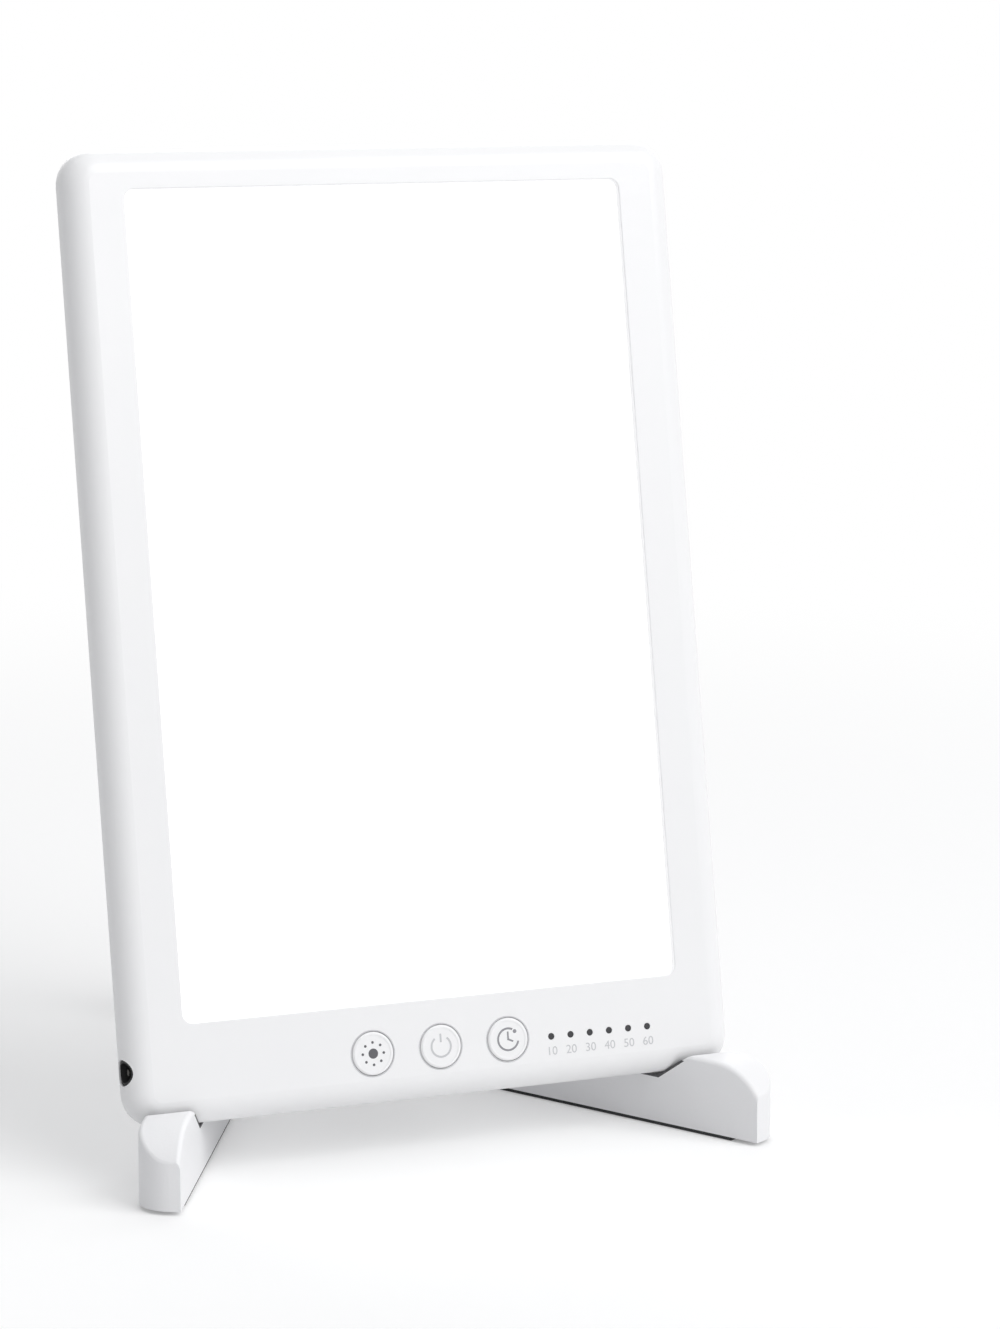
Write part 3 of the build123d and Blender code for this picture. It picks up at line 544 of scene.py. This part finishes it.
def settle(piece, name, plane, material, body):
    """Set a flat model in millimetres on its plane, and give it its name, finish and body."""
    clear_selection()
    piece.select_set(True)
    bpy.context.view_layer.objects.active = piece
    piece.matrix_world = plane @ Matrix.Scale(MM, 4) @ piece.matrix_world
    bpy.ops.object.transform_apply(location=True, rotation=True, scale=True)
    piece.name = name
    piece.data.name = name
    piece.data.materials.clear()
    piece.data.materials.append(material)
    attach(piece, body)


def join(pieces):
    """Join finished pieces into the first one."""
    clear_selection()
    for piece in pieces:
        piece.select_set(True)
    bpy.context.view_layer.objects.active = pieces[0]
    bpy.ops.object.join()
    return pieces[0]


# %% [markdown]
# ## Printed marks
# Ink on a key is a few hundredths of a millimetre thick. A ring is a spun section, a dot is a
# thin disc with a bevelled rim, and a bar is a stretched and bevelled plate. They stand on the
# key's face so that they catch light at a grazing angle, as real pad printing does. Each is sunk
# into the face by a hair, so that no gap shows under it.

# %% Ink sizes and inks
INK = 0.03
INK_SINK = 0.005
ink_base = key_mm - INK_SINK
ink_dark = moulded("Ink dark grey", (0.12, 0.12, 0.13), (0.09, 0.09, 0.10), 0.45, 0.08, 0.10)
ink_mid = moulded("Ink mid grey", (0.30, 0.30, 0.32), (0.25, 0.25, 0.27), 0.45, 0.08, 0.10)
ink_light = moulded("Ink light grey", (0.60, 0.60, 0.62), (0.55, 0.55, 0.57), 0.45, 0.08, 0.10)

# %% Rings and arcs by spin
MERGE_DISTANCE = 0.0005


def ring_piece(centre, radius, width, height, base, steps, start=0.0, sweep=2 * pi):
    """Ring or arc of a rectangular section, spun about the vertical through its centre.

    Its angles count anticlockwise. Rotate and spin turn clockwise, so their angles are negated.
    """
    clear_selection()
    bpy.ops.mesh.primitive_plane_add(size=1, location=(0, 0, 0))
    piece = bpy.context.object
    bpy.ops.object.mode_set(mode="EDIT")
    bpy.ops.transform.resize(value=(width, height, 1))
    bpy.ops.transform.rotate(value=-pi / 2, orient_axis="X", center_override=(0, 0, 0))
    bpy.ops.transform.translate(value=(radius, 0, base + height / 2))
    bpy.ops.transform.rotate(value=-start, orient_axis="Z", center_override=(0, 0, 0))
    whole = abs(sweep) >= 2 * pi
    bpy.ops.mesh.spin(
        steps=steps, angle=-sweep, center=(0, 0, 0), axis=(0, 0, 1), use_auto_merge=whole
    )
    bpy.ops.mesh.select_all(action="SELECT")
    bpy.ops.mesh.remove_doubles(threshold=MERGE_DISTANCE)
    if whole:
        bpy.ops.mesh.select_all(action="DESELECT")
        bpy.ops.mesh.select_interior_faces()
        bpy.ops.mesh.delete(type="FACE")
        bpy.ops.mesh.select_all(action="SELECT")
    bpy.ops.mesh.normals_make_consistent(inside=False)
    bpy.ops.object.mode_set(mode="OBJECT")
    piece.location = (centre[0], centre[1], 0)
    return piece

# %% Dots and bars
RIM_SHARE = 0.4
RIM_SEGMENTS = 2
UPWARD = 0.9
SAME_HEIGHT = 0.0001


def rim_bevel(size):
    """Soften the upper rim of the piece in edit mode, where its top faces are selected."""
    bpy.ops.mesh.region_to_loop()
    bpy.ops.mesh.bevel(offset=size, segments=RIM_SEGMENTS, affect="EDGES")
    bpy.ops.mesh.select_all(action="DESELECT")


def select_faces_by_height(piece, height):
    """Select the upward faces at a height, as by hand in face mode."""
    bpy.ops.object.mode_set(mode="OBJECT")
    for face in piece.data.polygons:
        face.select = face.normal.z > UPWARD and abs(face.center.z - height) < SAME_HEIGHT
    bpy.ops.object.mode_set(mode="EDIT")


def dot_piece(centre, radius, height, base, sides=32):
    """Round dot with a softened rim."""
    clear_selection()
    bpy.ops.mesh.primitive_cylinder_add(
        vertices=sides, radius=radius, depth=height, location=(0, 0, 0)
    )
    piece = bpy.context.object
    bpy.ops.object.mode_set(mode="EDIT")
    bpy.ops.mesh.select_mode(type="FACE")
    select_faces_by_height(piece, height / 2)
    rim_bevel(height * RIM_SHARE)
    bpy.ops.object.mode_set(mode="OBJECT")
    piece.location = (centre[0], centre[1], base + height / 2)
    return piece


def bar_piece(first, second, width, height, base):
    """Straight stroke between two points, with softened top edges."""
    across = Vector(second) - Vector(first)
    clear_selection()
    bpy.ops.mesh.primitive_cube_add(size=1, location=(0, 0, 0))
    piece = bpy.context.object
    bpy.ops.object.mode_set(mode="EDIT")
    bpy.ops.mesh.select_mode(type="FACE")
    bpy.ops.mesh.select_all(action="SELECT")
    bpy.ops.transform.resize(value=(across.length + width, width, height))
    select_faces_by_height(piece, height / 2)
    rim_bevel(height * RIM_SHARE)
    bpy.ops.object.mode_set(mode="OBJECT")
    middle = (Vector(first) + Vector(second)) / 2
    piece.rotation_euler.z = atan2(across.y, across.x)
    piece.location = (middle.x, middle.y, base + height / 2)
    return piece


# %% [markdown]
# ## Backrest pad
# The lamp leans on a soft grip strip set in the backrest bar. Such a strip is moulded with a lip
# along its outline, a fine groove inside the lip and a raised face that touches the casing. The
# outline is a circle, turned by half a step and pulled apart at its middle, so that its sides are
# straight. It is extruded, and insets on its top face then make the lip, the groove and the face,
# so that all three follow the round ends evenly.

# %% Plane and sizes of the pad
FACES_FRONT = -0.5
hinge = Vector(joints["backrest_swing"]["pos_m"])
pad_mesh = frame["nodes"]["backrest_pad"].data
pad_faces = [face for face in pad_mesh.polygons if face.normal.y < FACES_FRONT]
pad_front = max(pad_faces, key=lambda face: face.area).normal.copy()
pad_plane = on_plane(hinge, pad_front.cross(Vector((1, 0, 0))), pad_front)
pad_low, pad_high = plane_box("backrest_pad", pad_plane)
pad_radius = pad_high.x
pad_height = pad_high.z - pad_low.z
PAD_LIP_HEIGHT = 1.45
PAD_LIP_WIDTH = 1.1
PAD_GROOVE_WIDTH = 0.7
PAD_GROOVE_DEPTH = 0.6
PAD_SLOPE_WIDTH = 0.35
PAD_EDGE = 0.18
PAD_SIDES = 64
SMOOTH_ANGLE = radians(40)
print("pad", [round(value, 2) for value in (*pad_low, *pad_high)], "mm")


# %% Model the pad
def select_above(piece, level):
    """Select only the corners whose Y is above a level, as by hand in vertex mode."""
    bpy.ops.mesh.select_all(action="DESELECT")
    bpy.ops.object.mode_set(mode="OBJECT")
    for vertex in piece.data.vertices:
        vertex.select = vertex.co.y > level
    bpy.ops.object.mode_set(mode="EDIT")


def step_inwards(width, rise):
    """Inset the selected top face and move the new face up or down."""
    bpy.ops.mesh.inset(thickness=width)
    bpy.ops.transform.translate(value=(0, 0, rise))


clear_selection()
bpy.ops.mesh.primitive_circle_add(vertices=PAD_SIDES, radius=pad_radius, fill_type="NGON")
pad = bpy.context.object
bpy.ops.object.mode_set(mode="EDIT")
bpy.ops.mesh.select_mode(type="VERT")
bpy.ops.transform.rotate(value=pi / PAD_SIDES, orient_axis="Z", center_override=(0, 0, 0))
select_above(pad, 0)
bpy.ops.transform.translate(value=(0, pad_high.y - pad_low.y - 2 * pad_radius, 0))
bpy.ops.mesh.select_all(action="SELECT")
bpy.ops.mesh.extrude_region_move(TRANSFORM_OT_translate={"value": (0, 0, PAD_LIP_HEIGHT)})
bpy.ops.mesh.select_all(action="SELECT")
bpy.ops.mesh.normals_make_consistent(inside=False)
bpy.ops.mesh.select_mode(type="FACE")
select_faces_by_height(pad, PAD_LIP_HEIGHT)
step_inwards(PAD_LIP_WIDTH, 0)
step_inwards(PAD_SLOPE_WIDTH, -PAD_GROOVE_DEPTH)
step_inwards(PAD_GROOVE_WIDTH, 0)
step_inwards(PAD_SLOPE_WIDTH, pad_height - PAD_LIP_HEIGHT + PAD_GROOVE_DEPTH)
bpy.ops.object.mode_set(mode="OBJECT")
pad.location = (0, pad_low.y + pad_radius, pad_low.z)
soften(pad, PAD_EDGE)
bpy.ops.object.shade_smooth_by_angle(angle=SMOOTH_ANGLE)
print("pad size", [round(value, 2) for value in pad.dimensions], "mm")
settle(pad, "backrest_grip_pad", pad_plane, pad_grey, "backrest")
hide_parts("backrest_pad")

# %% [markdown]
# ## Key rings
# Each key sits in a grey trim ring on the bezel, and the key itself has a low rounded lip near
# its rim that a finger can find. The ring stays on the bezel, and the lip moves with its own key.

# %% Trim rings and finger lips
TRIM_RADIUS = 5.66
TRIM_WIDTH = 0.26
TRIM_HEIGHT = 0.08
LIP_RADIUS = 4.72
LIP_WIDTH = 0.5
LIP_HEIGHT = 0.12
LIP_ROUNDING = LIP_HEIGHT * 0.8
RING_SINK = 0.02
RING_STEPS = 96


def key_centre(name):
    """Middle of a key on the lamp's plane, in millimetres."""
    low, high = plane_box(f"{name}_button", lamp_plane)
    return (low.x + high.x) / 2, (low.y + high.y) / 2


for name in key_names:
    centre = key_centre(name)
    trim = ring_piece(
        centre, TRIM_RADIUS, TRIM_WIDTH, TRIM_HEIGHT, face_mm - RING_SINK, RING_STEPS
    )
    settle(trim, f"{name}_trim_ring", lamp_plane, ring_grey, "lamp_head")
    lip = ring_piece(centre, LIP_RADIUS, LIP_WIDTH, LIP_HEIGHT, key_mm - RING_SINK, RING_STEPS)
    soften(lip, LIP_ROUNDING)
    settle(lip, f"{name}_finger_lip", lamp_plane, key_white, f"{name}_button")
    print(name, "ring at", [round(value, 2) for value in centre])

# %% [markdown]
# ## Brightness mark
# The sun is one large dot with eight small ones around it, which a loop sets out evenly.

# %% Sun
SUN_DOT = 1.25
RAY_DOT = 0.34
RAY_RADIUS = 2.75
RAY_COUNT = 8
RAY_SIDES = 16
sun_centre = key_centre("brightness")
sun_parts = [dot_piece(sun_centre, SUN_DOT, INK, ink_base)]
for index in range(RAY_COUNT):
    turn = 2 * pi * index / RAY_COUNT
    place = (sun_centre[0] + RAY_RADIUS * cos(turn), sun_centre[1] + RAY_RADIUS * sin(turn))
    sun_parts.append(dot_piece(place, RAY_DOT, INK, ink_base, RAY_SIDES))
settle(join(sun_parts), "brightness_mark", lamp_plane, ink_dark, "brightness_button")

# %% [markdown]
# ## Power and timer marks
# The power mark is an open ring with a bar in its gap. The timer mark is an open clock ring with
# two hands, and a dot sits in the ring's gap.

# %% Power mark
MARK_RADIUS = 2.55
STROKE = 0.5
ARC_STEPS = 56
POWER_HALF_GAP = radians(38)
POWER_BAR_FOOT = Vector((0, 1.3))
POWER_BAR_TOP = Vector((0, 2.9))
power_centre = Vector(key_centre("power"))
power_parts = [
    ring_piece(
        power_centre, MARK_RADIUS, STROKE, INK, ink_base, ARC_STEPS,
        start=pi / 2 + POWER_HALF_GAP, sweep=2 * pi - 2 * POWER_HALF_GAP
    ),
    bar_piece(power_centre + POWER_BAR_FOOT, power_centre + POWER_BAR_TOP, STROKE, INK, ink_base),
]
settle(join(power_parts), "power_mark", lamp_plane, ink_light, "power_button")

# %% Timer mark
CLOCK_RADIUS = MARK_RADIUS + 0.15
CLOCK_START = radians(62)
CLOCK_SWEEP = radians(285)
HAND_WIDTH = STROKE * 0.9
LONG_HAND = Vector((0, 1.7))
SHORT_HAND = Vector((1.1, -0.5))
CLOCK_DOT = 0.5
CLOCK_DOT_SIDES = 20
CLOCK_DOT_PLACE = Vector((1.85, 1.85))
timer_centre = Vector(key_centre("timer"))
timer_parts = [
    ring_piece(
        timer_centre, CLOCK_RADIUS, STROKE, INK, ink_base, ARC_STEPS,
        start=CLOCK_START, sweep=CLOCK_SWEEP
    ),
    bar_piece(timer_centre, timer_centre + LONG_HAND, HAND_WIDTH, INK, ink_base),
    bar_piece(timer_centre, timer_centre + SHORT_HAND, HAND_WIDTH, INK, ink_base),
    dot_piece(timer_centre + CLOCK_DOT_PLACE, CLOCK_DOT, INK, ink_base, CLOCK_DOT_SIDES),
]
settle(join(timer_parts), "timer_mark", lamp_plane, ink_mid, "timer_button")

# %% [markdown]
# ## Minutes under the indicator windows
# Numbers are text objects with Blender's own font. They are made a mesh before their place is
# applied, and given the thickness of ink.

# %% Indicator numbers
NUMBER_HEIGHT = 2.15
FONT_SIZE = NUMBER_HEIGHT * 1.4
FONT_RESOLUTION = 6
NUMBER_DROP = 3.7
WINDOW_DROP = 0.43
WINDOW_COUNT = 6
LED_WIDTH = 1.6
MINUTES_PER_WINDOW = 10
window_low, window_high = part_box("indicator_leds")
row_width = (window_high.x - window_low.x) / MM
first_window = window_low.x / MM + LED_WIDTH / 2
window_pitch = (row_width - LED_WIDTH) / (WINDOW_COUNT - 1)
number_line = key_centre("power")[1] - WINDOW_DROP - NUMBER_DROP
number_parts = []
for index in range(WINDOW_COUNT):
    clear_selection()
    bpy.ops.object.text_add(location=(0, 0, 0))
    text = bpy.context.object
    text.data.body = str(MINUTES_PER_WINDOW * (index + 1))
    text.data.size = FONT_SIZE
    text.data.align_x = "CENTER"
    text.data.align_y = "CENTER"
    text.data.extrude = INK / 2
    text.data.resolution_u = FONT_RESOLUTION
    across = first_window + window_pitch * index
    text.location = (across, number_line, face_mm + INK / 2 - INK_SINK)
    bpy.ops.object.convert(target="MESH")
    number_parts.append(bpy.context.object)
settle(join(number_parts), "minute_numbers", lamp_plane, ink_light, "lamp_head")
print("windows from", round(first_window, 2), "every", round(window_pitch, 2), "mm")

# %% [markdown]
# ## Studio
# A pale floor under plain soft light. A large light stands in front, to the right and high up, so
# that the left edge of the lamp and the inner face of the right leg fall into soft shade. A weak
# one hangs overhead, and one behind shows the stand and the rear of the casing in other views.
# What the camera and a reflection see of the floor is lifted by a share of plain white, which
# keeps the shadow pale, and further away the floor fades to full white. The soft light that falls
# on the object comes without that lift.


# %% Rays that see the set
def seen_rays(tree):
    """One for camera, glossy and transmission rays, and nought for the rays that light things."""
    path = tree.nodes.new("ShaderNodeLightPath")
    direct = math_node(
        tree, "MAXIMUM", path.outputs["Is Camera Ray"], path.outputs["Is Glossy Ray"]
    )
    return math_node(tree, "MAXIMUM", direct, path.outputs["Is Transmission Ray"])


# %% Floor
FLOOR_TONE = 0.82
FLOOR_ROUGHNESS = 0.9
FLOOR_LIFT = 0.20
FLOOR_SIZE = 8
FLOOR_GAP = 0.0001
FADE_START = 0.25
FADE_END = 0.85


def build_floor():
    """Pale floor whose shadow is lifted for the rays that see it."""
    material = bpy.data.materials.new("Studio floor")
    material.use_nodes = True
    tree = material.node_tree
    shader = tree.nodes["Principled BSDF"]
    shader.inputs["Base Color"].default_value = (FLOOR_TONE, FLOOR_TONE, FLOOR_TONE, 1.0)
    shader.inputs["Roughness"].default_value = FLOOR_ROUGHNESS
    shader.inputs["Specular IOR Level"].default_value = 0.0
    seen = seen_rays(tree)
    lift = tree.nodes.new("ShaderNodeEmission")
    tree.links.new(math_node(tree, "MULTIPLY", seen, FLOOR_LIFT), lift.inputs["Strength"])
    lifted = tree.nodes.new("ShaderNodeAddShader")
    tree.links.new(shader.outputs["BSDF"], lifted.inputs[0])
    tree.links.new(lift.outputs["Emission"], lifted.inputs[1])
    place = tree.nodes.new("ShaderNodeTexCoord").outputs["Object"]
    away = tree.nodes.new("ShaderNodeVectorMath")
    away.operation = "LENGTH"
    tree.links.new(place, away.inputs[0])
    fade = tree.nodes.new("ShaderNodeMapRange")
    fade.interpolation_type = "SMOOTHSTEP"
    fade.inputs["From Min"].default_value = FADE_START
    fade.inputs["From Max"].default_value = FADE_END
    tree.links.new(away.outputs["Value"], fade.inputs["Value"])
    white = tree.nodes.new("ShaderNodeEmission")
    mix = tree.nodes.new("ShaderNodeMixShader")
    tree.links.new(math_node(tree, "MULTIPLY", seen, fade.outputs["Result"]), mix.inputs["Fac"])
    tree.links.new(lifted.outputs["Shader"], mix.inputs[1])
    tree.links.new(white.outputs["Emission"], mix.inputs[2])
    tree.links.new(mix.outputs["Shader"], tree.nodes["Material Output"].inputs["Surface"])
    clear_selection()
    bpy.ops.mesh.primitive_plane_add(size=FLOOR_SIZE, location=(0, 0, cad_low.z - FLOOR_GAP))
    floor = bpy.context.object
    floor.name = "studio_floor"
    floor.data.materials.append(material)


build_floor()

# %% World
AMBIENT_LEVEL = 0.41
AMBIENT_TINT = (0.97, 0.98, 1.0, 1.0)
PLAIN_WHITE = (1.0, 1.0, 1.0, 1.0)


def build_world():
    """Even light for the object, and plain white for the rays that see the set."""
    world = bpy.data.worlds.new("Studio world")
    world.use_nodes = True
    tree = world.node_tree
    ambient = tree.nodes["Background"]
    ambient.inputs["Color"].default_value = AMBIENT_TINT
    ambient.inputs["Strength"].default_value = AMBIENT_LEVEL
    plain = tree.nodes.new("ShaderNodeBackground")
    plain.inputs["Color"].default_value = PLAIN_WHITE
    mix = tree.nodes.new("ShaderNodeMixShader")
    tree.links.new(seen_rays(tree), mix.inputs["Fac"])
    tree.links.new(ambient.outputs["Background"], mix.inputs[1])
    tree.links.new(plain.outputs["Background"], mix.inputs[2])
    tree.links.new(mix.outputs["Shader"], tree.nodes["World Output"].inputs["Surface"])
    bpy.context.scene.world = world


build_world()

# %% Lights
STUDIO_LIGHTS = {
    "key_light": {"way": (0.42, -0.66, 0.60), "distance": 3.2, "size": 2.6, "power": 63.0},
    "top_light": {"way": (0.0, 0.0, 1.0), "distance": 1.5, "size": 1.4, "power": 4.0},
    "back_light": {"way": (0.25, 0.80, 0.42), "distance": 3.2, "size": 2.6, "power": 26.0},
}
object_middle = (cad_low + cad_high) / 2


def soft_light(name, way, distance, size, power):
    """Square area light, in metres and watts, that looks at the lamp from a direction."""
    data = bpy.data.lights.new(name, "AREA")
    data.shape = "SQUARE"
    data.size = size
    data.energy = power
    light = bpy.data.objects.new(name, data)
    bpy.context.scene.collection.objects.link(light)
    direction = Vector(way).normalized()
    light.location = object_middle + direction * distance
    light.rotation_euler = (-direction).to_track_quat("-Z", "Y").to_euler()


for name, settings in STUDIO_LIGHTS.items():
    soft_light(name, **settings)

# %% [markdown]
# ## Camera
# The lamp is seen from the left and a little above, through a long lens. The camera's place is
# given from the lamp's lower edge, where the recline hinge lies.

# %% Camera
CAMERA_FROM_HINGE = Vector((-0.37241, -0.93169, 0.26982))
CAMERA_WAY = Vector((0.38150, 0.90954, -0.16490))
LENS = 150.37
SENSOR_WIDTH = 36.0
CLIP_START = 0.01
camera_data = bpy.data.cameras.new("studio_camera")
camera_data.sensor_fit = "HORIZONTAL"
camera_data.sensor_width = SENSOR_WIDTH
camera_data.lens = LENS
camera_data.clip_start = CLIP_START
camera = bpy.data.objects.new("studio_camera", camera_data)
bpy.context.scene.collection.objects.link(camera)
camera.location = lamp_point + CAMERA_FROM_HINGE
camera.rotation_euler = CAMERA_WAY.to_track_quat("-Z", "Y").to_euler()
bpy.context.scene.camera = camera
bpy.context.scene.view_settings.view_transform = "Standard"
